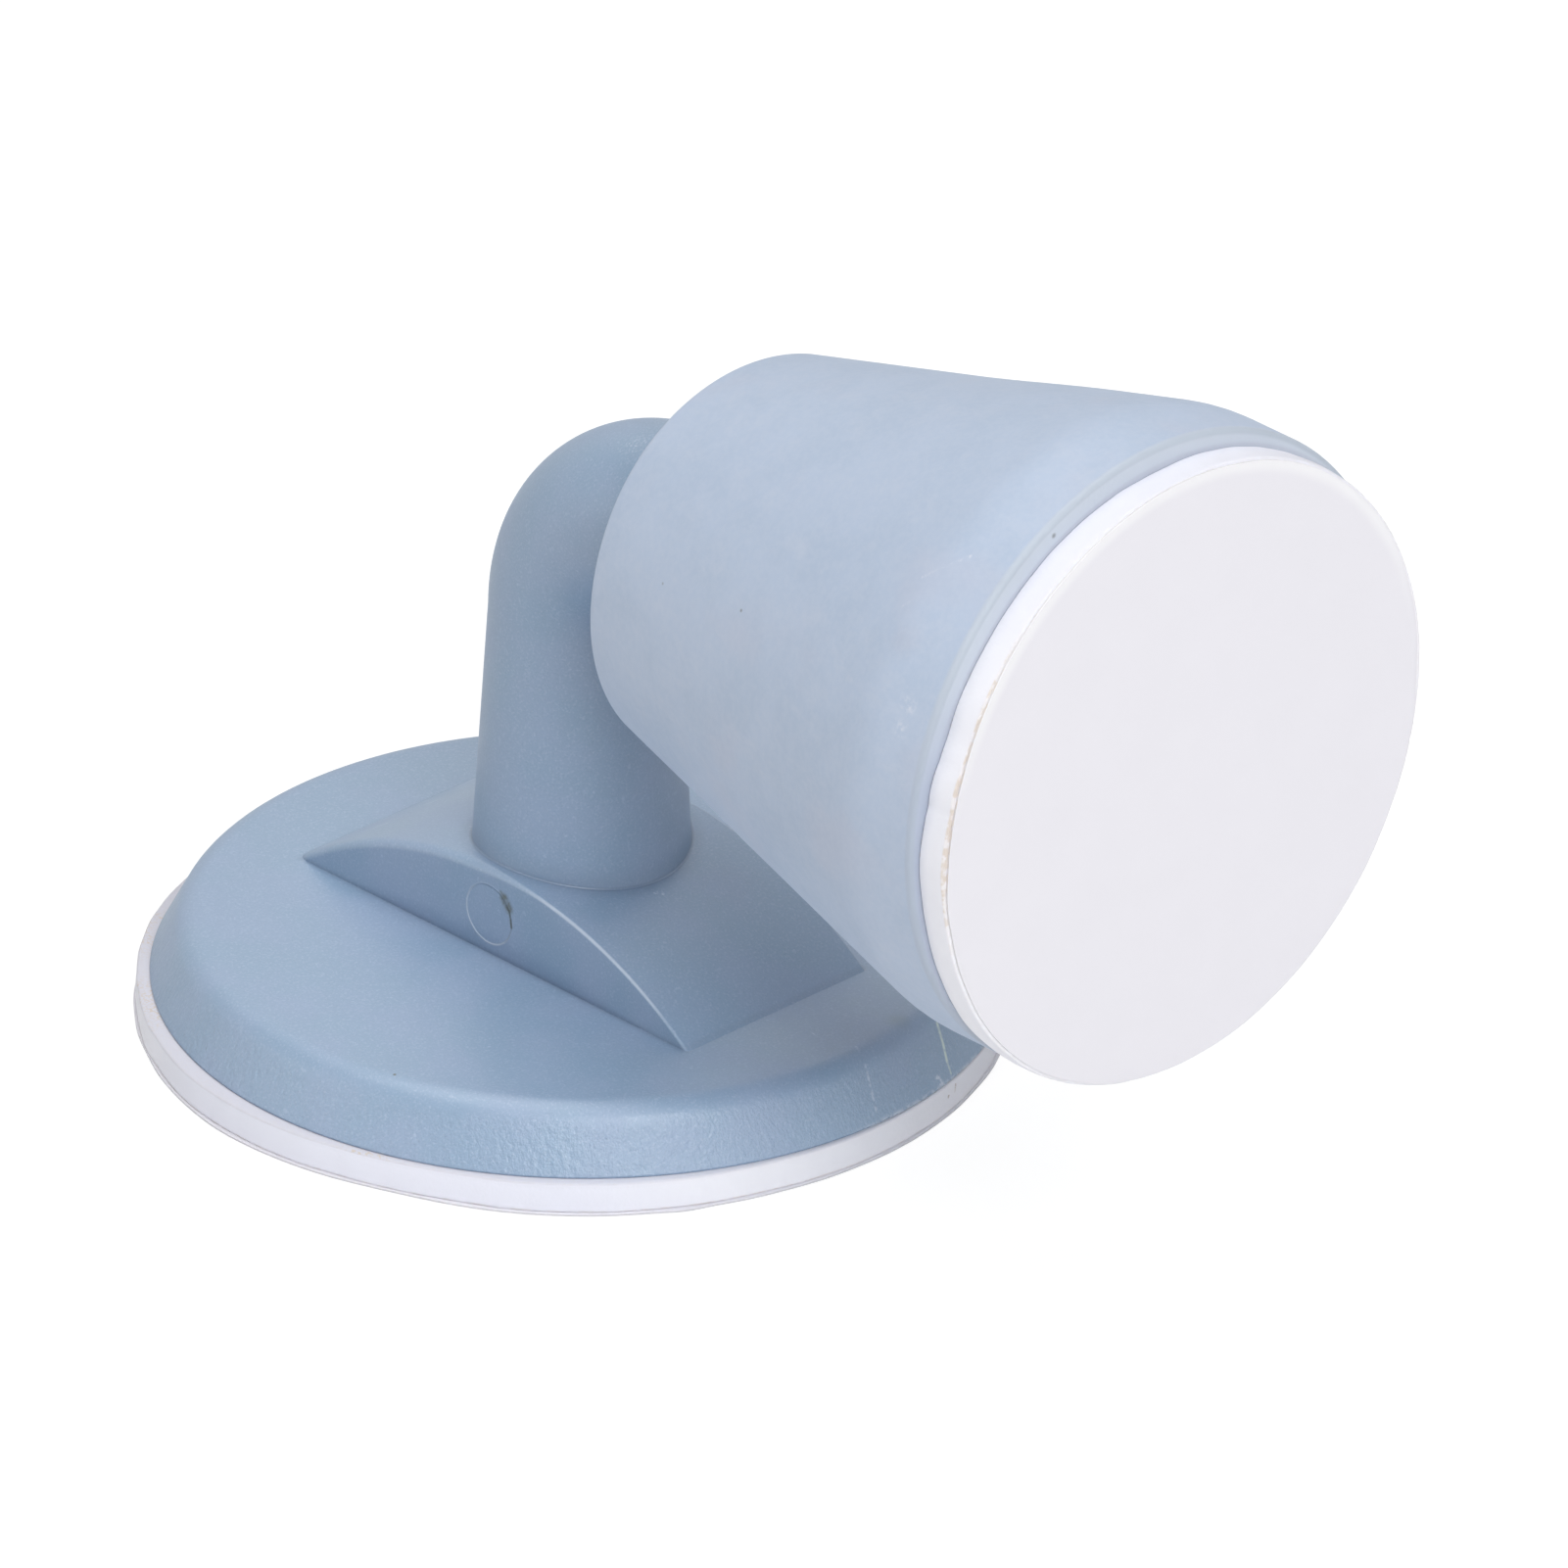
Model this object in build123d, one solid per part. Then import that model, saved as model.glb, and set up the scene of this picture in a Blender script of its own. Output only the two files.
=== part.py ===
from build123d import *
import os
from math import radians, tan

# A stick-on plug-in door stop. A moulded base carries an elbow arm that ends in a plain stud,
# and a soft rubber catch is pushed onto the stud and pulls off along it. Each half is stuck
# down by a foam disc that still has its release liner.
# Millimetres. +Z is up and +X is the way the arm points. The origin is the centre of the
# underside, where the base's liner lies on the floor.

# Foam discs and liners
LINER_THICKNESS = 0.15
FOAM_THICKNESS = 1.85
BASE_DISC_DIAMETER = 50.0
BASE_LINER_DIAMETER = 50.2
BASE_DISC_SHIFT = (-0.15, -0.5)  # stuck on by hand, a little off the plate's centre
FACE_DISC_DIAMETER = 37.4
FACE_LINER_DIAMETER = 36.9
FACE_DISC_SHIFT = (0.6, -0.95)  # in Y and Z, off the catch's axis

# Round plate with a leaning skirt
PLATE_DIAMETER = 49.4
PLATE_THICKNESS = 3.75
SKIRT_LEAN = 27.0  # degrees from upright
SHOULDER_ROUNDING = 1.6

# Arched saddle across the plate
SADDLE_LENGTH = 32.0
SADDLE_WIDTH = 14.2
SADDLE_RISE = 5.4  # crown above the plate
SADDLE_EDGE_ROUNDING = 0.5
PIN_MARK_DIAMETER = 3.7
PIN_MARK_DEPTH = 0.1
PIN_MARK_PLACE = (-0.2, 2.5)  # in X and above the plate, on the saddle's -Y side

# Post, elbow and stud
POST_FOOT_DIAMETER = 12.5  # where the post leaves the saddle's crown
ARM_DIAMETER = 10.9
ARM_HEIGHT = 34.1  # axis of the stud above the floor
ELBOW_RADIUS = 8.3  # at the arm's centre line
STUD_END_CHAMFER = 1.2

# Rubber catch
CATCH_LENGTH = 32.8
CATCH_FACE_REACH = 45.5  # from the plate's centre to the catch's flat face
RIM_DIAMETER = 38.0
SMALL_END_DIAMETER = 24.0
RIM_BAND = 4.7  # straight band behind the face, before it blends into the cone
RIM_BLEND = 9.0
FACE_LIP = 0.9  # bevelled edge round the face
SMALL_END_LIP = 0.4
SOCKET_DEPTH = 16.0
SOCKET_CLEARANCE = 0.06  # all round the stud
SOCKET_LEAD_IN = 0.5

# Heights and reaches that follow
PLATE_BOTTOM = LINER_THICKNESS + FOAM_THICKNESS
PLATE_TOP = PLATE_BOTTOM + PLATE_THICKNESS
SADDLE_CROWN = PLATE_TOP + SADDLE_RISE
ELBOW_START = ARM_HEIGHT - ELBOW_RADIUS
CATCH_BACK = CATCH_FACE_REACH - CATCH_LENGTH
SOCKET_BOTTOM = CATCH_BACK + SOCKET_DEPTH
SOCKET_RADIUS = ARM_DIAMETER / 2 + SOCKET_CLEARANCE


def rounded(profile, x, y, radius):
    """The flat profile with its corner at (x, y) rounded."""
    corner = profile.vertices().sort_by_distance((x, y, 0))[0]
    return fillet(corner, radius)


def skirted_plate():
    """Round plate, its skirt leaning in to a softly rounded shoulder."""
    bottom_radius = PLATE_DIAMETER / 2
    top_radius = bottom_radius - PLATE_THICKNESS * tan(radians(SKIRT_LEAN))
    outline = Polyline(
        (0, PLATE_BOTTOM),
        (bottom_radius, PLATE_BOTTOM),
        (top_radius, PLATE_TOP),
        (0, PLATE_TOP),
        close=True,
    )
    profile = rounded(make_face(outline), top_radius, PLATE_TOP, SHOULDER_ROUNDING)
    return revolve(Plane.XZ * profile, Axis.Z)


def arched_saddle():
    """Bridge of one shallow arc along X, with upright sides and rounded arch edges."""
    half = SADDLE_LENGTH / 2
    rooted = (PLATE_BOTTOM + PLATE_TOP) / 2
    arch = ThreePointArc((-half, PLATE_TOP), (0, SADDLE_CROWN), (half, PLATE_TOP))
    root = Polyline((half, PLATE_TOP), (half, rooted), (-half, rooted), (-half, PLATE_TOP))
    side = Plane.XZ * make_face([arch, root])
    saddle = extrude(side, SADDLE_WIDTH / 2, both=True)
    saddle = fillet(saddle.edges().filter_by(GeomType.CIRCLE), SADDLE_EDGE_ROUNDING)
    mark_x, mark_rise = PIN_MARK_PLACE
    mark_centre = (mark_x, -SADDLE_WIDTH / 2, PLATE_TOP + mark_rise)
    mark = Plane(origin=mark_centre, z_dir=(0, 1, 0)) * Circle(PIN_MARK_DIAMETER / 2)
    return saddle - extrude(mark, PIN_MARK_DEPTH)


def post_and_arm():
    """Tapered post, then a round arm of one thickness through the elbow to the stud."""
    arm_radius = ARM_DIAMETER / 2
    taper = (POST_FOOT_DIAMETER / 2 - arm_radius) / (ELBOW_START - SADDLE_CROWN)
    root_radius = arm_radius + taper * (ELBOW_START - PLATE_TOP)
    post_outline = Polyline(
        (0, PLATE_TOP),
        (root_radius, PLATE_TOP),
        (arm_radius, ELBOW_START),
        (0, ELBOW_START),
        close=True,
    )
    post = revolve(Plane.XZ * make_face(post_outline), Axis.Z)
    centre_line = FilletPolyline(
        (0, 0, ELBOW_START - 1),
        (0, 0, ARM_HEIGHT),
        (SOCKET_BOTTOM, 0, ARM_HEIGHT),
        radius=ELBOW_RADIUS,
    )
    section = Plane.XY.offset(ELBOW_START - 1) * Circle(arm_radius)
    arm = sweep(section, path=centre_line)
    tip = arm.faces().sort_by(Axis.X)[-1]
    return post + chamfer(tip.edges(), STUD_END_CHAMFER)


def base_moulding():
    """Plate, saddle, post, elbow and stud, moulded as one piece."""
    return skirted_plate() + arched_saddle() + post_and_arm()


def bumper_catch():
    """Rubber cone with a straight rim band, a flat face and a round socket for the stud."""
    rim = RIM_DIAMETER / 2
    small_end = SMALL_END_DIAMETER / 2
    band_end = CATCH_FACE_REACH - RIM_BAND
    outline = Polyline(
        (CATCH_FACE_REACH, 0),
        (CATCH_FACE_REACH, rim - FACE_LIP),
        (CATCH_FACE_REACH - FACE_LIP, rim),
        (band_end, rim),
        (CATCH_BACK + SMALL_END_LIP, small_end),
        (CATCH_BACK, small_end - SMALL_END_LIP),
        (CATCH_BACK, SOCKET_RADIUS + SOCKET_LEAD_IN),
        (CATCH_BACK + SOCKET_LEAD_IN, SOCKET_RADIUS),
        (SOCKET_BOTTOM, SOCKET_RADIUS),
        (SOCKET_BOTTOM, 0),
        close=True,
    )
    profile = rounded(make_face(outline), band_end, rim, RIM_BLEND)
    return Pos(0, 0, ARM_HEIGHT) * revolve(Plane.XZ * profile, Axis.X)


def disc(diameter, thickness, place):
    """Die-cut disc that grows from the place's plane along its normal."""
    return extrude(place * Circle(diameter / 2), thickness)


def face_plane(reach):
    """Plane of the catch's face disc, square to X and shifted as the disc was stuck on."""
    shift_y, shift_z = FACE_DISC_SHIFT
    return Plane(origin=(reach, shift_y, ARM_HEIGHT + shift_z), z_dir=(1, 0, 0))


def base_plane(height):
    """Plane of the base's disc at a height, shifted as the disc was stuck on."""
    return Plane(origin=(*BASE_DISC_SHIFT, height), z_dir=(0, 0, 1))


sub_parts = {
    "base_moulding": base_moulding(),
    "base_foam_pad": disc(BASE_DISC_DIAMETER, FOAM_THICKNESS, base_plane(LINER_THICKNESS)),
    "base_release_liner": disc(BASE_LINER_DIAMETER, LINER_THICKNESS, base_plane(0)),
    "bumper_catch": bumper_catch(),
    "face_foam_pad": disc(FACE_DISC_DIAMETER, FOAM_THICKNESS, face_plane(CATCH_FACE_REACH)),
    "face_release_liner": disc(
        FACE_LINER_DIAMETER, LINER_THICKNESS, face_plane(CATCH_FACE_REACH + FOAM_THICKNESS)
    ),
}

os.makedirs("parts", exist_ok=True)
for name, solid in sub_parts.items():
    export_step(solid, f"parts/{name}.step")
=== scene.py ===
from math import cos, pi, radians, sin, tan

import bpy
import numpy as np
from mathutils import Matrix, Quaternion, Vector


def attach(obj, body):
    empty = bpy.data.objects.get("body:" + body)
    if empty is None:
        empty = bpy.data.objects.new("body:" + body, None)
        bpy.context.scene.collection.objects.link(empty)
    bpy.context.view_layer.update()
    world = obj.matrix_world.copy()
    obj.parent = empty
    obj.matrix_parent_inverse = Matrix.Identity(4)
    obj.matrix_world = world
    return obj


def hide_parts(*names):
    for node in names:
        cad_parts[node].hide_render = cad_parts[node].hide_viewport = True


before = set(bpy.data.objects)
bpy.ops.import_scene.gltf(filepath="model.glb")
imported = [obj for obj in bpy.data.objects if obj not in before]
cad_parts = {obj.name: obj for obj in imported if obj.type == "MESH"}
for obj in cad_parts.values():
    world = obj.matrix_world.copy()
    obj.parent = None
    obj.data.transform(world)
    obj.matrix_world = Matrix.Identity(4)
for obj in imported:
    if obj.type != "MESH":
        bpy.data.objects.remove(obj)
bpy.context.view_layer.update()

# Camera and studio
# A long lens looks down on the stop's front corner. A large softbox hangs overhead and another
# stands behind, three smaller ones light the front, and the pale floor fills from below.
scene = bpy.context.scene
scene.view_settings.view_transform = "Standard"

PHOTO_WIDTH = 1601  # pixels
FOCAL_LENGTH = 30485  # pixels
CAMERA_AZIMUTH = radians(45.30)
CAMERA_ELEVATION = radians(28.15)
CAMERA_ROLL = radians(0.74)
CAMERA_DISTANCE = 1.700  # metres
CAMERA_AIM = Vector((0.00901, 0.00726, 0.01500))
SENSOR_WIDTH = 36  # millimetres


def direction(azimuth, elevation):
    """Unit vector towards a lamp or camera: azimuth 0 stands at -Y and turns towards +X."""
    level = cos(elevation)
    return Vector((sin(azimuth) * level, -cos(azimuth) * level, sin(elevation)))


lens = bpy.data.cameras.new("camera")
lens.sensor_width = SENSOR_WIDTH
lens.lens = FOCAL_LENGTH / PHOTO_WIDTH * SENSOR_WIDTH
lens.clip_end = 20
camera = bpy.data.objects.new("camera", lens)
scene.collection.objects.link(camera)
scene.camera = camera
towards_camera = direction(CAMERA_AZIMUTH, CAMERA_ELEVATION)
camera.location = CAMERA_AIM + towards_camera * CAMERA_DISTANCE
camera.rotation_mode = "QUATERNION"
level_view = towards_camera.to_track_quat("Z", "Y")
camera.rotation_quaternion = level_view @ Quaternion((0, 0, 1), CAMERA_ROLL)


def softbox(name, azimuth, elevation, size, power, distance=1.3):
    """Square area lamp that faces the stop from that direction, itself unseen by the camera."""
    lamp = bpy.data.lights.new(name, "AREA")
    lamp.shape = "SQUARE"
    lamp.size = size
    lamp.energy = power
    box = bpy.data.objects.new(name, lamp)
    box.visible_camera = False
    scene.collection.objects.link(box)
    towards = direction(radians(azimuth), radians(elevation))
    box.location = CAMERA_AIM + towards * distance
    box.rotation_mode = "QUATERNION"
    box.rotation_quaternion = towards.to_track_quat("Z", "Y")


softbox("softbox_above", azimuth=0, elevation=89, size=1.2, power=10.8)
softbox("softbox_front", azimuth=60, elevation=35, size=0.6, power=8.2)
softbox("softbox_right", azimuth=100, elevation=20, size=0.6, power=2.7)
softbox("softbox_left", azimuth=-30, elevation=14, size=0.8, power=2.6)
softbox("softbox_behind", azimuth=-120, elevation=50, size=1.2, power=1.9)


class Value:
    """A shader socket that holds a number, so that masks and heights are written as sums."""

    def __init__(self, bench, socket):
        self.bench = bench
        self.socket = socket

    def maths(self, operation, *terms):
        return self.bench.node("ShaderNodeMath", {"operation": operation}, dict(enumerate(terms)))

    def __add__(self, other):
        return self.maths("ADD", self, other)

    def __sub__(self, other):
        return self.maths("SUBTRACT", self, other)

    def __rsub__(self, other):
        return self.maths("SUBTRACT", other, self)

    def __mul__(self, other):
        return self.maths("MULTIPLY", self, other)

    def __abs__(self):
        return self.maths("ABSOLUTE", self)

    def root(self):
        """The square root."""
        return self.maths("SQRT", self)

    def upto(self, other):
        """The smaller of the two."""
        return self.maths("MINIMUM", self, other)

    def atleast(self, other):
        """The larger of the two."""
        return self.maths("MAXIMUM", self, other)

    __radd__ = __add__
    __rmul__ = __mul__


class Bench:
    """A node tree on which a shader is put together."""

    def __init__(self, tree):
        self.tree = tree

    def node(self, kind, settings=None, sockets=None, output=0):
        """A new node of that kind, its settings set first, then its sockets filled or linked."""
        made = self.tree.nodes.new(kind)
        for name, setting in (settings or {}).items():
            setattr(made, name, setting)
        for key, value in (sockets or {}).items():
            self.fill(made.inputs[key], value)
        return Value(self, made.outputs[output])

    def fill(self, socket, value):
        """Links a value to a socket, or sets the socket to a plain number, vector or colour."""
        if isinstance(value, Value):
            self.tree.links.new(value.socket, socket)
        elif socket.type == "RGBA":
            socket.default_value = (*value, 1)
        else:
            socket.default_value = value


class Finish(Bench):
    """The material of one of the stop's pieces, its patterns placed in millimetres."""

    def __init__(self, name):
        self.material = bpy.data.materials.new(name)
        self.material.use_nodes = True
        super().__init__(self.material.node_tree)
        self.shader = self.tree.nodes["Principled BSDF"]
        metres = self.node("ShaderNodeTexCoord", output="Object")
        self.place = self.vector("SCALE", metres, Scale=1000)
        split = self.node("ShaderNodeSeparateXYZ", {}, {"Vector": self.place}).socket.node
        self.x, self.y, self.z = (Value(self, socket) for socket in split.outputs)

    def set(self, **sockets):
        """Fills sockets of the shader, named with _ for each space."""
        for name, value in sockets.items():
            self.fill(self.shader.inputs[name.replace("_", " ")], value)

    def vector(self, operation, *vectors, output=0, **named):
        """A Vector Math node on these vectors."""
        sockets = {**dict(enumerate(vectors)), **named}
        return self.node("ShaderNodeVectorMath", {"operation": operation}, sockets, output)

    def noise(self, per_mm, detail=2, roughness=0.5, stretch=None):
        """Smooth noise from 0 to 1 with that many lumps in a millimetre, drawn out along the axes
        where stretch is small."""
        sockets = {
            "Vector": self.vector("MULTIPLY", self.place, stretch) if stretch else self.place,
            "Scale": per_mm,
            "Detail": detail,
            "Roughness": roughness,
        }
        return self.node("ShaderNodeTexNoise", {}, sockets)

    def ease(self, value, low, high):
        """0 up to low and 1 from high, with an eased step between. High may be the lower one."""
        sockets = {"Value": value, "From Min": low, "From Max": high}
        return self.node("ShaderNodeMapRange", {"interpolation_type": "SMOOTHSTEP"}, sockets)

    def spot(self, centre, radius, core=0.3):
        """1 within core of the radius round a point, fading to 0 at the radius."""
        gap = self.vector("DISTANCE", self.place, centre, output="Value")
        return self.ease(gap, radius, radius * core)

    def line(self, start, end, width):
        """1 along the straight line between two points, fading to 0 half the width away."""
        run = Vector(end) - Vector(start)
        offset = self.vector("SUBTRACT", self.place, start)
        share = self.vector("DOT_PRODUCT", offset, run, output="Value") * (1 / run.length_squared)
        foot = self.vector("SCALE", run, Scale=share.upto(1).atleast(0))
        gap = self.vector("LENGTH", self.vector("SUBTRACT", offset, foot), output="Value")
        return self.ease(gap, width / 2, width / 8)

    def any_of(self, *masks):
        """The largest of several masks."""
        whole = masks[0]
        for mask in masks[1:]:
            whole = whole.atleast(mask)
        return whole

    def mix(self, mask, first, second):
        """The first colour where the mask is 0 and the second where it is 1."""
        factor, colour_a, colour_b, result = 0, 6, 7, 2
        sockets = {factor: mask, colour_a: first, colour_b: second}
        return self.node("ShaderNodeMix", {"data_type": "RGBA"}, sockets, result)

    def bump(self, height):
        """Lets a height in millimetres turn the shading normal."""
        self.set(Normal=self.node("ShaderNodeBump", {}, {"Height": height, "Distance": 0.001}))


WORLD_FILL = 0.05
world = bpy.data.worlds.new("studio")
scene.world = world
world.use_nodes = True
sky = Bench(world.node_tree)
background = sky.tree.nodes["Background"]
seen_straight = sky.node("ShaderNodeLightPath", output="Is Camera Ray")
seen_mirrored = sky.node("ShaderNodeLightPath", output="Is Glossy Ray")
seen_through = sky.node("ShaderNodeLightPath", output="Is Transmission Ray")
seen = (seen_straight + seen_mirrored + seen_through).upto(1)
sky.fill(background.inputs["Color"], (1, 1, 1))
sky.fill(background.inputs["Strength"], WORLD_FILL + seen * (1 - WORLD_FILL))

FLOOR_HALF = 3.0
FLOOR_DROP = 0.00005  # just under the liner, so that the two faces don't fight
FLOOR_WHITE = (0.92, 0.92, 0.92)
FLOOR_GLOW = 1.14
FLOOR_GLOW_SHARE = 0.78  # the rest of the floor shows the stop's shadow

floor_finish = Finish("studio_floor")
floor_finish.set(Base_Color=FLOOR_WHITE, Roughness=1.0, Specular_IOR_Level=0.0)
glow = floor_finish.node("ShaderNodeEmission", {}, {"Color": (1, 1, 1), "Strength": FLOOR_GLOW})
camera_ray = floor_finish.node("ShaderNodeLightPath", output="Is Camera Ray")
painted = Value(floor_finish, floor_finish.shader.outputs[0])
floor_mix = floor_finish.node(
    "ShaderNodeMixShader", {}, {0: camera_ray * FLOOR_GLOW_SHARE, 1: painted, 2: glow}
)
floor_finish.fill(floor_finish.tree.nodes["Material Output"].inputs["Surface"], floor_mix)

floor_mesh = bpy.data.meshes.new("floor")
floor_corners = [(-1, -1), (1, -1), (1, 1), (-1, 1)]
floor_mesh.from_pydata(
    [(x * FLOOR_HALF, y * FLOOR_HALF, -FLOOR_DROP) for x, y in floor_corners], [], [(0, 1, 2, 3)]
)
floor_mesh.materials.append(floor_finish.material)
floor = bpy.data.objects.new("floor", floor_mesh)
scene.collection.objects.link(floor)

# Base moulding
# Plate, saddle, post, elbow and stud in one shot of polypropylene, a satin greyish blue that
# pale specks run through. The skirt keeps the mould's drag marks, the post's foot has a small
# fillet, and a dirty ring on the saddle shows where an ejector pin pushed the moulding out.
MM = 0.001
PLATE_BOTTOM = 2.0
PLATE_TOP = 5.75
PLATE_RADIUS = 24.7
PLATE_FOOT_ROUNDING = 0.12
SKIRT_LEAN = radians(27)
SHOULDER_ROUNDING = 1.6
SADDLE_LENGTH = 32.0
SADDLE_WIDTH = 14.2
SADDLE_RISE = 5.4
SADDLE_ROUNDING = 0.2
SADDLE_SOFTER = 0.35  # more rounding towards -X, where the mould had worn
CRISP_FROM = 4.5  # where the added rounding starts, going towards -X
SOFT_RUN = 7.0  # the length in which it grows to its full size
SADDLE_ROOT = 4.0  # the saddle starts inside the plate
POST_FOOT_RADIUS = 6.25
FOOT_FILLET = 0.12
FOOT_SUNK = 0.02  # how far the fillet's edge dips into the saddle
ARM_RADIUS = 5.45
ARM_HEIGHT = 34.1
ELBOW_RADIUS = 8.3
STUD_END = 28.7
STUD_CHAMFER = 1.2
STUD_GUARD = 0.1  # close rings that keep the chamfer crisp
SADDLE_CROWN = PLATE_TOP + SADDLE_RISE
ARCH_RADIUS = ((SADDLE_LENGTH / 2) ** 2 + SADDLE_RISE ** 2) / (2 * SADDLE_RISE)
ELBOW_START = ARM_HEIGHT - ELBOW_RADIUS
ARC_STEP = radians(7)
ARC_GUARD = 0.08  # from the end of an arc to the close point beside it
HUB = 0.2  # radius at which rings stop and a fan closes the middle


def rounded_profile(corners, spacing):
    """Outline through corners (along, radius, rounding): straight runs with points no further
    apart than the spacing, and at each corner a true arc with a close point on either side."""
    places = np.array([corner[:2] for corner in corners], float)
    points = [places[:1]]
    for before, corner, after, (_, _, rounding) in zip(places, places[1:], places[2:], corners[1:]):
        back = (before - corner) / np.linalg.norm(before - corner)
        ahead = (after - corner) / np.linalg.norm(after - corner)
        half_angle = np.arccos(np.clip(back @ ahead, -1, 1)) / 2
        tangent = rounding / tan(half_angle)
        bisector = (back + ahead) / np.linalg.norm(back + ahead)
        centre = corner + bisector * rounding / sin(half_angle)
        start = corner + back * tangent - centre
        end = corner + ahead * tangent - centre
        turn = pi - 2 * half_angle
        steps = int(np.ceil(turn / ARC_STEP)) + 2
        share = np.linspace(0, 1, steps)[:, None]
        arc = centre + (np.sin((1 - share) * turn) * start + np.sin(share * turn) * end) / sin(turn)
        points += [arc[:1] + back * ARC_GUARD, arc, arc[-1:] + ahead * ARC_GUARD]
    points = np.vstack([*points, places[-1:]])
    lengths = np.linalg.norm(np.diff(points, axis=0), axis=1)
    pieces = np.maximum(1, np.ceil(lengths / spacing).astype(int))
    shares = np.concatenate([i + np.arange(n) / n for i, n in enumerate(pieces)])
    shares = np.append(shares, len(points) - 1)
    index = np.arange(len(points))
    return np.stack([np.interp(shares, index, column) for column in points.T], axis=1)


def turned(along, radius):
    """Rings about the Z axis at heights along, shape (rings, 1), with radius, shape (rings,
    around), at each angle from +X towards +Y."""
    angles = np.linspace(0, 2 * pi, radius.shape[1], endpoint=False)
    heights = np.broadcast_to(along, radius.shape)
    return np.stack([radius * np.cos(angles), radius * np.sin(angles), heights], axis=-1)


def saddle_height(x):
    """The saddle's top at x: the circle through its two ends on the plate and its crown."""
    return SADDLE_CROWN - ARCH_RADIUS + np.sqrt(ARCH_RADIUS ** 2 - x ** 2)


def saddle_rings(stations):
    """Cross-sections across the saddle, one at each x: up one wall, a quarter circle into the
    arched top, straight across it, and down the other wall. The quarter circle grows by an
    eased step from +X towards -X."""
    half = SADDLE_WIDTH / 2
    reach = SADDLE_LENGTH / 2 + 1
    x = np.linspace(-reach, reach, stations)[:, None]
    top = saddle_height(x)
    soft = np.clip((CRISP_FROM - x) / SOFT_RUN, 0, 1)
    rounding = SADDLE_ROUNDING + SADDLE_SOFTER * soft ** 2 * (3 - 2 * soft)
    turn = np.linspace(0, pi / 2, 9)
    wall_share = np.array([0, 0.5, 0.97])
    wall = SADDLE_ROOT + wall_share * (top - rounding - SADDLE_ROOT)
    edge = top - rounding * (1 - np.sin(turn))
    level = np.repeat(top, 2, axis=1)
    upright = np.full(wall.shape, half)
    inner = np.concatenate([half - rounding - 0.15, np.full(x.shape, half / 2)], axis=1)
    across = np.concatenate([upright, half - rounding * (1 - np.cos(turn)), inner], axis=1)
    heights = np.concatenate([wall, edge, level], axis=1)
    y = np.concatenate([across, np.zeros(x.shape), -across[:, ::-1]], axis=1)
    z = np.concatenate([heights, top, heights[:, ::-1]], axis=1)
    return np.stack([np.broadcast_to(x, z.shape), y, z], axis=-1)


def arm_rings(around):
    """Rings up the tapering post, round the elbow's quarter circle and along the stud. The
    lowest follow the saddle's curve, and flare out into its fillet."""
    angles = np.linspace(0, 2 * pi, around, endpoint=False)
    taper = (POST_FOOT_RADIUS - ARM_RADIUS) / (ELBOW_START - SADDLE_CROWN)
    flare = np.linspace(0, pi / 2, 8)[:, None]
    spread = FOOT_FILLET * (1 - np.sin(flare))
    saddle_line = saddle_height((POST_FOOT_RADIUS + spread) * np.cos(angles)) - FOOT_SUNK
    foot = saddle_line + FOOT_FILLET * (1 - np.cos(flare))
    share = np.linspace(0, 1, 15)[1:, None]
    height = np.concatenate([foot[:1] - 0.5, foot, foot[-1] + (ELBOW_START - foot[-1]) * share])
    radius = ARM_RADIUS + taper * (ELBOW_START - height)
    radius[0] += FOOT_FILLET
    radius[1:1 + len(spread)] += spread
    post = np.stack([radius * np.cos(angles), radius * np.sin(angles), height], axis=-1)

    turn = np.linspace(0, pi / 2, 49)[1:, None]
    inward = ARM_RADIUS * np.cos(angles)
    elbow_x = ELBOW_RADIUS * (1 - np.cos(turn)) + inward * np.cos(turn)
    elbow_z = ELBOW_START + ELBOW_RADIUS * np.sin(turn) - inward * np.sin(turn)
    elbow_y = np.broadcast_to(ARM_RADIUS * np.sin(angles), elbow_x.shape)
    elbow = np.stack([elbow_x, elbow_y, elbow_z], axis=-1)

    tip = STUD_END - STUD_CHAMFER
    round_chamfer = [tip - STUD_GUARD, tip, tip + STUD_GUARD, STUD_END - STUD_GUARD]
    reach = np.array([12, 20, *round_chamfer, STUD_END, STUD_END])[:, None]
    bevel = np.maximum(reach - tip, 0)
    bevel[-1] += STUD_GUARD
    stud_radius = (ARM_RADIUS - bevel) + np.zeros(around)
    stud = turned(reach, stud_radius)
    stud = np.stack([stud[..., 2], stud[..., 1], ARM_HEIGHT - stud[..., 0]], axis=-1)
    return np.concatenate([post, elbow, stud])


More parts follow.
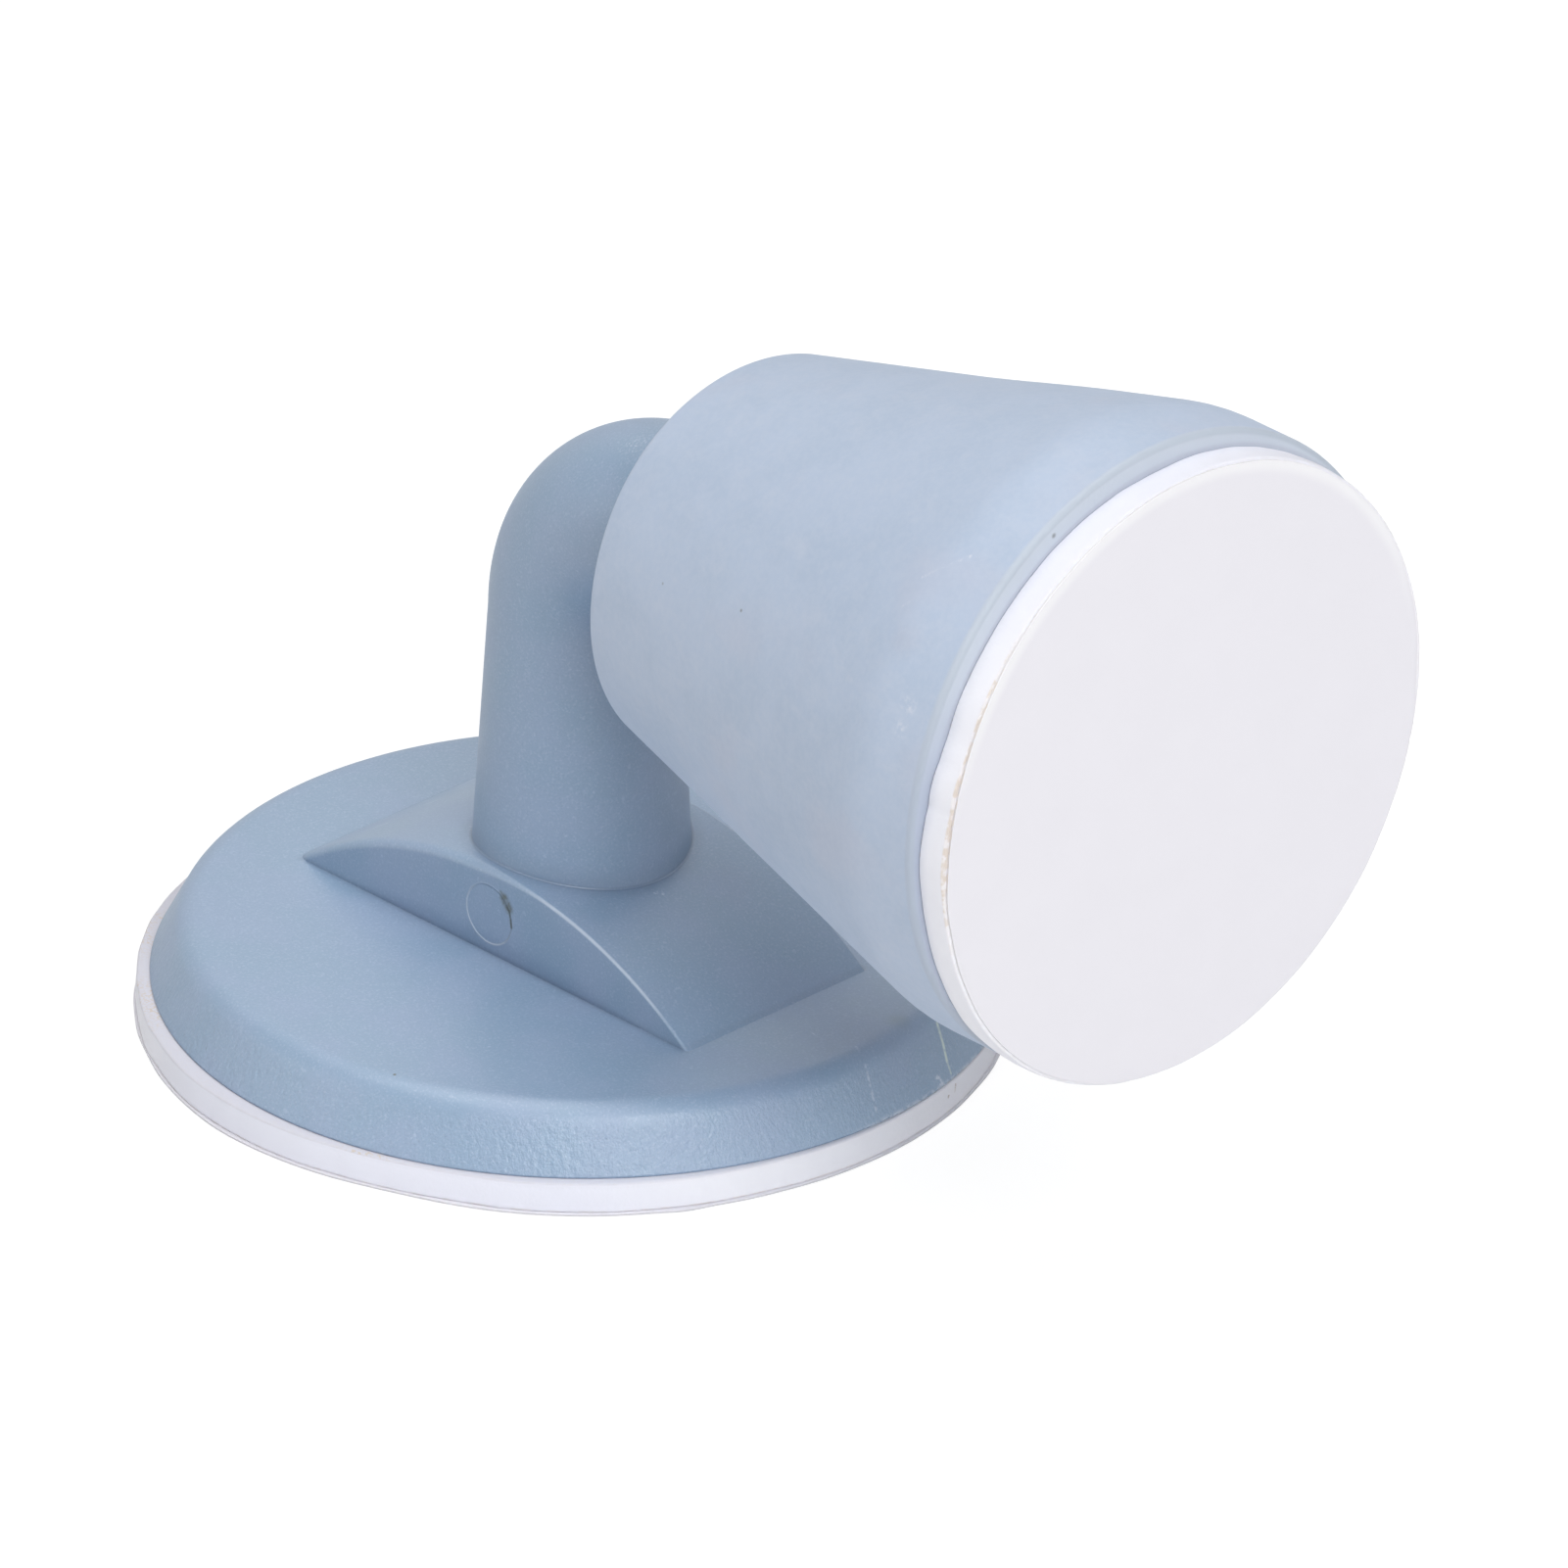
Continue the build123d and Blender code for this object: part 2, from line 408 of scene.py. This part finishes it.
def closed_skin(name, shells, finish):
    """One mesh of closed shells in millimetres. A shell is rings of points, shape (rings,
    around, 3): quads join each ring to the next, and a fan closes the first and the last."""
    points, faces, used = [], [], 0
    for rings in shells:
        count, around, _ = rings.shape
        here = np.arange(around)
        beside = (here + 1) % around
        starts = np.arange(count - 1)[:, None] * around
        last = (count - 1) * around
        hub = count * around
        ends = starts + around
        quads = np.stack([starts + here, starts + beside, ends + beside, ends + here], axis=-1)
        first_fan = np.stack([np.full(around, hub), beside, here], axis=-1)
        last_fan = np.stack([np.full(around, hub + 1), last + here, last + beside], axis=-1)
        points += [rings.reshape(-1, 3), rings[:1].mean(axis=1), rings[-1:].mean(axis=1)]
        for group in (quads.reshape(-1, 4), first_fan, last_fan):
            faces += (used + group).tolist()
        used += hub + 2
    mesh = bpy.data.meshes.new(name)
    mesh.from_pydata((np.vstack(points) * MM).tolist(), [], faces)
    mesh.polygons.foreach_set("use_smooth", np.ones(len(mesh.polygons), bool))
    mesh.materials.append(finish.material)
    made = bpy.data.objects.new(name, mesh)
    scene.collection.objects.link(made)
    return made


base_blue = (0.252, 0.360, 0.500)
base_violet = (0.280, 0.374, 0.520)
base_speck = (0.50, 0.60, 0.73)
base_pepper = (0.12, 0.18, 0.28)
hair_green = (0.60, 0.70, 0.66)
dust_and_highlight_white = (0.66, 0.72, 0.80)
pin_dirt = (0.10, 0.115, 0.095)
painted_shade_blue = (0.12, 0.17, 0.26)
old_stain = (0.22, 0.30, 0.36)

plastic = Finish("satin_base_plastic")
cloud = plastic.ease(plastic.noise(0.22, 3), 0.35, 0.65)
fine_speck = plastic.ease(plastic.noise(6.5, 2), 0.48, 0.76)
bold_speck = plastic.ease(plastic.noise(2.6, 0), 0.80, 0.86)
body = plastic.mix(cloud, base_blue, base_violet)
body = plastic.mix(fine_speck * 0.26 + bold_speck * 0.22, body, base_speck)
pepper = plastic.ease(plastic.noise(9.0, 1), 0.52, 0.72)
body = plastic.mix(pepper * 0.13, body, base_pepper)

NEAR_SIDE = -SADDLE_WIDTH / 2
PIN_CENTRE = (-0.2, NEAR_SIDE, 8.25)
PIN_RADIUS = 1.85
pin_gap = plastic.vector("DISTANCE", plastic.place, PIN_CENTRE, output="Value")
near_wall = plastic.ease(plastic.y, NEAR_SIDE + 0.2, NEAR_SIDE + 0.05)
pin_rim = near_wall * plastic.ease(abs(pin_gap - PIN_RADIUS), 0.10, 0.02)
pin_dip = near_wall * plastic.ease(pin_gap, PIN_RADIUS + 0.06, PIN_RADIUS - 0.06)
towards_lower_left = plastic.ease(plastic.x + plastic.z, 9.6, 6.6)
body = plastic.mix(pin_rim * (0.10 + 0.35 * towards_lower_left), body, dust_and_highlight_white)
ragged = plastic.ease(plastic.noise(4.0, 2), 0.35, 0.6)
pin_smear = plastic.any_of(
    plastic.line((0.74, NEAR_SIDE, 10.03), (1.02, NEAR_SIDE, 9.7), 0.40),
    plastic.line((1.02, NEAR_SIDE, 9.72), (1.38, NEAR_SIDE, 9.22), 1.0),
    plastic.line((1.44, NEAR_SIDE, 9.15), (1.62, NEAR_SIDE, 8.1), 0.26),
)
body = plastic.mix(pin_smear * (0.50 + 0.45 * ragged), body, pin_dirt)

hair = plastic.any_of(
    plastic.line((22.22, 6.68, 4.94), (22.81, 6.59, 3.87), 0.32),
    plastic.line((22.81, 6.59, 3.87), (23.32, 6.42, 3.01), 0.34),
    plastic.line((23.32, 6.42, 3.01), (23.65, 6.41, 2.38), 0.24),
)
body = plastic.mix(hair * (0.60 + 0.40 * ragged), body, hair_green)
scratches = plastic.any_of(
    plastic.line((15.59, 0.38, 6.05), (19.67, -0.41, 5.75), 0.16),
    plastic.line((22.07, 0.35, 5.73), (23.18, 0.05, 4.96), 0.26),
    plastic.line((23.18, 0.05, 4.96), (24.35, -0.21, 2.67), 0.26),
    plastic.line((-12.9, -4.6, 7.9), (-12.3, -3.6, 8.1), 0.30),
    plastic.line((-12.9, -0.3, 7.9), (-12.4, 0.5, 8.0), 0.24),
)
dust = plastic.any_of(
    plastic.line((23.88, 5.2, 2.6), (24.0, 5.3, 2.25), 0.65),
    plastic.spot((7.0, -0.9, 10.2), 0.20),
    plastic.spot((7.3, -0.6, 10.1), 0.16),
    plastic.spot((7.1, -0.4, 10.2), 0.14),
    plastic.spot((6.0, -2.0, 39.0), 1.1, 0.0) * fine_speck,
)
skirt_foot = plastic.ease(plastic.z, 2.35, 2.1) * plastic.spot((23.2, 6.0, 2.0), 10.0, 0.5)
body = plastic.mix(scratches * ragged * 0.45 + dust * ragged * 0.8, body, dust_and_highlight_white)
body = plastic.mix(skirt_foot * ragged * 0.6, body, dust_and_highlight_white)
body = plastic.mix(plastic.spot((21.5, 4.26, 5.75), 1.1, 0.1) * 0.45, body, old_stain)
body = plastic.mix(plastic.spot((6.55, -20.98, 5.75), 0.14), body, pin_dirt)

from_axis = plastic.vector("MULTIPLY", plastic.place, (1, 1, 0))
post_gap = plastic.vector("LENGTH", from_axis, output="Value")
arch_line = (ARCH_RADIUS ** 2 - plastic.x * plastic.x).root() + (SADDLE_CROWN - ARCH_RADIUS)
above_saddle = plastic.z - arch_line
# Painted shade: a dark line and a soft darker band round the post's foot on the saddle, and a
# darker strip along the saddle's foot on the plate.
at_foot = plastic.ease(above_saddle, -1.2, -0.4)
foot_crease_shade = plastic.ease(abs(post_gap - (POST_FOOT_RADIUS + 0.08)), 0.22, 0.02)
foot_crease_shade = foot_crease_shade * plastic.ease(above_saddle, 0.30, 0.06) * 0.6
foot_shade = plastic.ease(post_gap, POST_FOOT_RADIUS + 1.15, POST_FOOT_RADIUS + 0.05)
foot_shade = foot_shade * plastic.ease(above_saddle, 1.8, 0.0) * 0.26
body = plastic.mix(at_foot * foot_crease_shade.atleast(foot_shade), body, painted_shade_blue)
beside_saddle = plastic.ease(abs(plastic.y), SADDLE_WIDTH / 2 + 0.4, SADDLE_WIDTH / 2)
along_saddle = plastic.ease(abs(plastic.x), SADDLE_LENGTH / 2 + 0.3, SADDLE_LENGTH / 2 - 0.5)
saddle_foot_shade = beside_saddle * along_saddle * plastic.ease(plastic.z, PLATE_TOP + 0.35, PLATE_TOP)
body = plastic.mix(saddle_foot_shade * 0.35, body, painted_shade_blue)
# Painted highlight: a paler band along the saddle's crisp edges.
at_edge = plastic.ease(abs(plastic.y), SADDLE_WIDTH / 2 - 0.20, SADDLE_WIDTH / 2 - 0.09)
at_edge = at_edge * plastic.ease(above_saddle, -0.17, -0.08) * beside_saddle
painted_edge_highlight = at_edge * plastic.ease(plastic.x, 1.5, 5.0) * plastic.ease(plastic.x, 15.5, 12.0)
body = plastic.mix(painted_edge_highlight * 0.42, body, dust_and_highlight_white)

grain = plastic.noise(8.0, 2)
on_skirt = plastic.ease(plastic.z, PLATE_TOP - 0.3, PLATE_TOP - 1.4)
drag = plastic.noise(3.0, 3, 0.6, stretch=(1, 1, 0.5))
plastic.set(Base_Color=body, Roughness=0.38 + 0.08 * cloud, Specular_IOR_Level=0.9)
texture = grain * (0.008 + 0.014 * on_skirt) + drag * on_skirt * 0.09
plastic.bump(texture - pin_dip * 0.05 + pin_rim * 0.02)

SHOULDER_RADIUS = PLATE_RADIUS - (PLATE_TOP - PLATE_BOTTOM) * tan(SKIRT_LEAN)
PLATE_AROUND = 480
plate_profile = rounded_profile(
    [
        (PLATE_BOTTOM, HUB, 0),
        (PLATE_BOTTOM, PLATE_RADIUS, PLATE_FOOT_ROUNDING),
        (PLATE_TOP, SHOULDER_RADIUS, SHOULDER_ROUNDING),
        (PLATE_TOP, HUB, 0),
    ],
    spacing=4.0,
)
plate_rings = turned(plate_profile[:, :1], plate_profile[:, 1:] + np.zeros(PLATE_AROUND))
moulding_shells = [plate_rings, saddle_rings(stations=161), arm_rings(around=240)]
moulding = closed_skin("moulding_skin", moulding_shells, plastic)
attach(moulding, "base")
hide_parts("base_moulding")

# Base foam pad
# A disc die-cut from white closed-cell foam tape and stuck on a little off centre. The knife
# left its edge wavy, and tan dirt has settled in the glue above and below the foam.
LINER_THICKNESS = 0.15
FOAM_THICKNESS = 1.85
BASE_FOAM_RADIUS = 24.93
BASE_FOAM_EDGE = 0.12  # rounding of the cut edges
BASE_SHIFT = np.array([-0.15, -0.5, 0])  # off the plate's centre
BASE_SWELLS = [(-102, 15, 0.20), (-68, 14, -0.38), (-36, 12, 0.08)]


def wander(angles, size, slowest, fastest, seed):
    """Sum of sines round the circle, each faster one smaller, with phases from the seed."""
    speeds = np.arange(slowest, fastest + 1)
    draw = np.random.default_rng(seed)
    phases = draw.uniform(0, 2 * pi, len(speeds))
    weights = size / speeds ** 0.7
    return (weights[:, None] * np.sin(speeds[:, None] * angles + phases[:, None])).sum(axis=0)


def swells(angles, places):
    """Sum of bell curves round the circle, each (angle in degrees, half width, size)."""
    whole = np.zeros_like(angles)
    for centre, width, size in places:
        gap = (np.degrees(angles) - centre + 180) % 360 - 180
        whole = whole + size * np.exp(-((gap / width) ** 2))
    return whole


def disc_rings(outline, thickness, edge, side_swell):
    """Rings of a flat disc from its lower centre over its side to its upper centre: radius
    outline at each angle, both edges rounded by edge, and side_swell (rows, angles) added to
    the side. Gives (rings, points, 3) with the third number the height."""
    cap_shares = np.array([0.02, 0.5, 0.9, 0.97, 0.99])
    turn = np.linspace(0, pi / 2, 5)
    rows = side_swell.shape[0]
    inset = edge * (1 - np.sin(turn))
    rise = edge * (1 - np.cos(turn))
    side_height = np.linspace(edge, thickness - edge, rows + 2)[1:-1]
    level = np.zeros(len(cap_shares))
    share = np.concatenate([cap_shares, np.ones(2 * len(turn) + rows), cap_shares[::-1]])[:, None]
    insets = np.concatenate([level, inset, np.zeros(rows), inset[::-1], level])[:, None]
    height = np.concatenate([level, rise, side_height, thickness - rise[::-1], level + thickness])
    swell = np.zeros((len(share), len(outline)))
    first_row = len(cap_shares) + len(turn)
    swell[first_row:first_row + rows] = side_swell
    radius = np.where(share < 1, share * (outline - edge), outline - insets) + swell
    return turned(height[:, None], radius)


foam_lavender = (0.83, 0.84, 0.925)
foam_white = (0.93, 0.93, 0.975)
foam_ivory = (0.66, 0.652, 0.715)
foam_shade = (0.78, 0.78, 0.86)
glue_tan = (0.66, 0.57, 0.48)
glue_brown = (0.36, 0.27, 0.20)


def foam_tape(finish, depth, whitened, ivory, thick, stained):
    """Foam finish at a depth from the side that is stuck on, 0 to the foam's thickness: lavender
    white, whiter where whitened is 1 and warmer where ivory is 1, with broken tan glue lines at
    both skins, faint where thick is 0 and heavy where it is 1. Stained is a mask of brown dirt."""
    cells = finish.noise(5.0, 3)
    mottle = finish.noise(0.9, 3)
    breaks = finish.ease(finish.noise(1.4, 3), 0.42, 0.58)
    crumbs = finish.ease(finish.noise(5.0, 2), 0.48, 0.60)
    strength = 0.08 * breaks + thick * (0.26 + 0.42 * breaks)
    stuck_line = finish.ease(depth, 0.16, 0.02) * strength * crumbs
    liner_line = finish.ease(depth, FOAM_THICKNESS - 0.16, FOAM_THICKNESS - 0.05) * strength
    colour = finish.mix(mottle * 0.25, finish.mix(whitened, foam_lavender, foam_white), foam_shade)
    colour = finish.mix(ivory, colour, foam_ivory)
    colour = finish.mix(stuck_line.atleast(liner_line), colour, glue_tan)
    colour = finish.mix(stained * (0.3 + 0.6 * crumbs), colour, glue_brown)
    finish.set(Base_Color=colour, Roughness=0.85, Specular_IOR_Level=0.3)
    finish.bump(cells * 0.02 + mottle * 0.03)


AROUND = 720
FOAM_ROWS = 10
circle = np.linspace(0, 2 * pi, AROUND, endpoint=False)
bulge = 1 - np.linspace(-1, 1, FOAM_ROWS)[:, None] ** 2
base_edge = swells(circle, BASE_SWELLS)

base_tape = Finish("white_foam_tape_base")
# Painted light: the foam is whiter towards its right and left ends.
right_painted_light = base_tape.ease(base_tape.x, 17.0, 24.0)
left_painted_light = base_tape.ease(base_tape.x, -4.0, -16.0)
ledge = base_tape.ease(base_tape.z, PLATE_BOTTOM - 0.16, PLATE_BOTTOM - 0.03)
foam_tape(
    base_tape,
    depth=PLATE_BOTTOM - base_tape.z,
    whitened=right_painted_light.atleast(left_painted_light),
    ivory=ledge * (0.9 - 0.4 * base_tape.ease(base_tape.x, 12.0, 20.0)),
    thick=base_tape.any_of(
        base_tape.spot((7.3, -24.2, 2.0), 2.2),
        base_tape.spot((-14.0, -20.5, 2.0), 4.0),
        base_tape.spot((-20.0, -14.5, 2.0), 4.0),
        base_tape.ease(base_tape.z, 0.45, 0.30) * 0.5,
    ),
    stained=base_tape.any_of(
        base_tape.line((23.74, 6.7, 1.6), (23.86, 6.6, 1.2), 0.22),
        base_tape.spot((24.0, 5.9, 1.2), 0.16),
        base_tape.spot((9.2, -23.6, 1.9), 0.16),
    ),
)
base_foam_rings = disc_rings(
    BASE_FOAM_RADIUS + base_edge + wander(circle, size=0.035, slowest=5, fastest=60, seed=3),
    FOAM_THICKNESS,
    BASE_FOAM_EDGE,
    0.05 * bulge + 0.015 * wander(circle, size=1, slowest=10, fastest=60, seed=4),
)
base_foam_place = base_foam_rings + BASE_SHIFT + (0, 0, LINER_THICKNESS)
base_foam = closed_skin("base_foam", [base_foam_place], base_tape)
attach(base_foam, "base")
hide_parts("base_foam_pad")

# Base release liner
# Siliconised paper that still covers the foam's sticky underside, cut a hair wider than it.
BASE_LINER_RADIUS = 25.08
LINER_EDGE = 0.03  # rounding of the cut edges
paper_grey = (0.815, 0.805, 0.855)
paper_shade = (0.795, 0.785, 0.835)
paper_frost = (0.90, 0.90, 0.92)
# Painted shade for the liner's cut side.
base_edge_shade_grey = (0.56, 0.55, 0.58)


def release_paper(finish, depth, side_colour, frosted):
    """Paper finish at a depth from the foam: pale and faintly cloudy on its faces, whiter where
    frosted is 1, and of side_colour along its cut side, as painted shade."""
    fibres = finish.noise(2.5, 3)
    # Painted shade on the cut side, between the two faces.
    side_shade = finish.ease(depth, 0.02, 0.05)
    side_shade = side_shade * finish.ease(depth, LINER_THICKNESS - 0.01, LINER_THICKNESS - 0.03)
    colour = finish.mix(finish.noise(0.25, 2), paper_grey, paper_shade)
    colour = finish.mix(frosted, colour, paper_frost)
    finish.set(Base_Color=finish.mix(side_shade * (0.4 + 0.6 * fibres), colour, side_colour))
    finish.set(Roughness=0.5 + 0.06 * fibres)
    finish.bump(fibres * 0.003)


base_paper = Finish("release_paper_base")
release_paper(base_paper, LINER_THICKNESS - base_paper.z, base_edge_shade_grey, frosted=0.0)
loose_corner = swells(circle, [(-29, 3, 0.15)])
base_liner_cut = wander(circle, size=0.03, slowest=3, fastest=40, seed=5)
base_liner_rings = disc_rings(
    BASE_LINER_RADIUS + base_edge + loose_corner + base_liner_cut,
    LINER_THICKNESS,
    LINER_EDGE,
    np.zeros((2, AROUND)),
)
base_liner = closed_skin("base_liner", [base_liner_rings + BASE_SHIFT], base_paper)
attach(base_liner, "base")
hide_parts("base_release_liner")

# Bumper catch
# A cone of soft matte rubber, paler than the base, cast with a straight rim behind its face and
# a plain round socket that grips the stud. It sank a little on top as it cured, its skin is
# chalky and scuffed, and the top of its face has rubbed pale round the foam.
FACE_REACH = 45.5
CATCH_BACK = 12.7
BACK_ROUNDING = 0.4
RIM_RADIUS = 19.0
RIM_BAND = 4.7
RIM_BLEND = 9.0
RIM_CORNER = 0.35
SMALL_END_RADIUS = 12.0
SOCKET_RADIUS = 5.51
SOCKET_FLOOR_ROUNDING = 0.3
FACE_CENTRE = (0.6, 33.15)  # of the foam stuck on the face, in Y and Z
FACE_FOAM_RADIUS = 18.68


def along_x(rings, centre_y, centre_z):
    """Rings about Z turned to run along +X, about the axis at that Y and Z. Their angles then
    go from +Y towards +Z."""
    return np.stack([rings[..., 2], centre_y + rings[..., 0], centre_z + rings[..., 1]], axis=-1)


rubber_blue = (0.462, 0.548, 0.692)
rubber_deep = (0.435, 0.524, 0.666)
rubber_chalk = (0.540, 0.600, 0.716)
rubber_rose = (0.496, 0.542, 0.664)
face_blue = (0.432, 0.485, 0.592)
rim_pale = (0.68, 0.735, 0.785)
corner_shade_grey = (0.380, 0.440, 0.520)
scuff_white = (0.70, 0.72, 0.80)
speck_black = (0.16, 0.17, 0.18)
smudge_and_shade_grey = (0.44, 0.46, 0.55)

rubber = Finish("soft_catch_rubber")
patchy = rubber.ease(rubber.noise(0.20, 5, 0.62), 0.38, 0.64)
chalky = rubber.ease(rubber.noise(0.35, 5, 0.7, stretch=(1, 1, 2)), 0.50, 0.72)
rosy = rubber.ease(rubber.noise(0.13, 3), 0.52, 0.72)
coat = rubber.mix(patchy, rubber_blue, rubber_deep)
coat = rubber.mix(chalky * 0.45, coat, rubber_chalk)
coat = rubber.mix(rosy * 0.5, coat, rubber_rose)
fine_grain = rubber.ease(rubber.noise(2.4, 4, 0.65), 0.40, 0.62)
coat = rubber.mix(fine_grain * 0.22, coat, rubber_chalk)
on_face = rubber.ease(rubber.x, FACE_REACH - 0.5, FACE_REACH - 0.1)
rubbed = rubber.ease(rubber.z, 37, 46)
coat = rubber.mix(on_face * 0.9, coat, face_blue)
coat = rubber.mix(on_face * rubbed * 0.48, coat, rim_pale)
axis_gap = rubber.vector("DISTANCE", rubber.place, (FACE_REACH, 0, ARM_HEIGHT), output="Value")
# Painted shade: the rim's rounded corner is darkened to dull its highlight.
on_corner = rubber.ease(rubber.x, FACE_REACH - 0.40, FACE_REACH - 0.12)
on_corner = on_corner * rubber.ease(axis_gap, RIM_RADIUS - 0.45, RIM_RADIUS - 0.20)
coat = rubber.mix(on_corner * 0.58, coat, corner_shade_grey)
# Painted shadow: a darker line on the face round the foam's edge.
foam_gap = rubber.vector("DISTANCE", rubber.place, (FACE_REACH, *FACE_CENTRE), output="Value")
foam_contact_shade = on_face * rubber.ease(foam_gap, FACE_FOAM_RADIUS + 0.32, FACE_FOAM_RADIUS + 0.07)
coat = rubber.mix(foam_contact_shade * (0.15 + 0.30 * rubbed), coat, smudge_and_shade_grey)
scuffs = rubber.any_of(
    rubber.spot((43.39, -17.14, 42.3), 0.9, 0.1),
    rubber.spot((43.37, -17.69, 41.02), 0.8, 0.1),
    rubber.line((40.3, -13.05, 47.6), (42.42, -11.52, 49.21), 0.35),
    rubber.line((39.8, -14.6, 46.0), (40.8, -13.8, 46.8), 0.30),
)
scuff_grit = rubber.ease(rubber.noise(3.0, 3, 0.7), 0.42, 0.66)
coat = rubber.mix(scuffs * scuff_grit * 0.6, coat, scuff_white)
specks = rubber.any_of(
    rubber.spot((19.34, -12.8, 39.1), 0.15),
    rubber.spot((26.96, -14.1, 40.8), 0.16),
    rubber.spot((30.3, 2.2, 50.6), 0.14),
    rubber.spot((45.4, -8.11, 50.45), 0.25),
)
coat = rubber.mix(specks * 0.8, coat, speck_black)
smudge = rubber.spot((41.5, -15.2, 44.8), 1.6, 0.0)
coat = rubber.mix(smudge * patchy * 0.4, coat, smudge_and_shade_grey)
skin_grain = rubber.noise(3.0, 3)
rubber.set(Base_Color=coat, Roughness=0.56 + 0.10 * chalky, Specular_IOR_Level=0.7)
rubber.bump(skin_grain * 0.012 + patchy * 0.02)

catch_profile = rounded_profile(
    [
        (STUD_END, HUB, 0),
        (STUD_END, SOCKET_RADIUS, SOCKET_FLOOR_ROUNDING),
        (CATCH_BACK, SOCKET_RADIUS, BACK_ROUNDING),
        (CATCH_BACK, SMALL_END_RADIUS, BACK_ROUNDING),
        (FACE_REACH - RIM_BAND, RIM_RADIUS, RIM_BLEND),
        (FACE_REACH, RIM_RADIUS, RIM_CORNER),
        (FACE_REACH, HUB, 0),
    ],
    spacing=1.2,
)
CATCH_AROUND = 480
catch_circle = np.linspace(0, 2 * pi, CATCH_AROUND, endpoint=False)
catch_along, catch_radius = catch_profile[:, :1], catch_profile[:, 1:]
outer_side = np.clip(catch_radius - SOCKET_RADIUS - 1, 0, 1)
towards_back = np.clip((35 - catch_along) / 10, 0, 1)
sunk = towards_back ** 2 * (3 - 2 * towards_back) * swells(catch_circle, [(80, 30, -0.26)])
near_back = np.exp(-(((catch_along - CATCH_BACK) / 4) ** 2))
back_corner = near_back * swells(catch_circle, [(135, 22, 0.13)])
catch_rings = turned(catch_along, catch_radius + outer_side * (sunk + back_corner))
catch = closed_skin("catch_rubber", [along_x(catch_rings, 0, ARM_HEIGHT)], rubber)
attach(catch, "catch")
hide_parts("bumper_catch")

# Face foam pad
# The same white foam tape, stuck on the rubber's face by hand, low and to one side of it. Its
# knife started near the front of the rim, which left two small steps in the edge.
FACE_FOAM_EDGE = 0.15
FACE_FOAM_SWELLS = [
    (0, 30, 0.15),
    (92, 10, -0.16),
    (155.5, 3.5, -0.15),
    (165, 3.5, 0.07),
    (178, 8, 0.22),
    (160, 1.2, -0.05),
    (168, 1.2, -0.06),
    (280, 20, -0.2),
]
face_tape = Finish("white_foam_tape_face")
foam_tape(
    face_tape,
    depth=face_tape.x - FACE_REACH,
    # less white towards the top of the face
    whitened=1.0 - 0.7 * face_tape.ease(face_tape.z, 43.0, 50.0),
    ivory=face_tape.ease(face_tape.x, FACE_REACH + 0.6, FACE_REACH + 1.5) * 0.08,
    thick=face_tape.spot((FACE_REACH + FOAM_THICKNESS, -17.0, 38.0), 10.5, 0.6),
    stained=face_tape.any_of(
        face_tape.line((47.2, -17.95, 33.3), (47.2, -17.95, 31.2), 0.25),
        face_tape.line((47.25, -17.9, 34.6), (47.25, -17.95, 33.9), 0.12),
    ),
)
face_foam_cut = wander(circle, size=0.02, slowest=5, fastest=60, seed=13)
face_foam_rings = disc_rings(
    FACE_FOAM_RADIUS + swells(circle, FACE_FOAM_SWELLS) + face_foam_cut,
    FOAM_THICKNESS,
    FACE_FOAM_EDGE,
    0.04 * bulge + 0.012 * wander(circle, size=1, slowest=10, fastest=60, seed=14),
)
face_foam_place = along_x(face_foam_rings + (0, 0, FACE_REACH), *FACE_CENTRE)
face_foam = closed_skin("face_foam", [face_foam_place], face_tape)
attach(face_foam, "catch")
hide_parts("face_foam_pad")

# Face release liner
# A pale grey paper disc over the face foam, with the same smooth dull finish as the base's.
FACE_LINER_RADIUS = 18.5
FACE_LINER_SWELLS = [(134, 32, 0.08), (182, 8, 0.05), (0, 4, -0.10)]
# Painted shade on the liner's cut side, with real tan glue mixed in near the glued patch.
face_edge_shade_grey = (0.68, 0.66, 0.67)
face_liner_cut = wander(circle, size=0.02, slowest=3, fastest=40, seed=15)
face_liner_rings = disc_rings(
    FACE_LINER_RADIUS + swells(circle, FACE_LINER_SWELLS) + face_liner_cut,
    LINER_THICKNESS,
    LINER_EDGE,
    np.zeros((2, AROUND)),
)
face_liner_place = along_x(face_liner_rings + (0, 0, FACE_REACH + FOAM_THICKNESS), *FACE_CENTRE)
face_paper = Finish("release_paper_face")
glued = face_paper.spot((FACE_REACH + FOAM_THICKNESS, -17.0, 39.0), 9.0, 0.6)
glue_crumbs = face_paper.ease(face_paper.noise(1.6, 3), 0.40, 0.55)
glue_and_edge_shade = face_paper.mix(glued * glue_crumbs, face_edge_shade_grey, glue_tan)
liner_centre = (FACE_REACH + FOAM_THICKNESS + LINER_THICKNESS, *FACE_CENTRE)
from_centre = face_paper.vector("DISTANCE", face_paper.place, liner_centre, output="Value")
frosting = face_paper.ease(from_centre, 17.6, 18.3) * face_paper.ease(face_paper.z, 36, 44)
paper_depth = face_paper.x - (FACE_REACH + FOAM_THICKNESS)
release_paper(face_paper, paper_depth, glue_and_edge_shade, frosting * 0.7)
face_liner = closed_skin("face_liner", [face_liner_place], face_paper)
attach(face_liner, "catch")
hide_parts("face_release_liner")
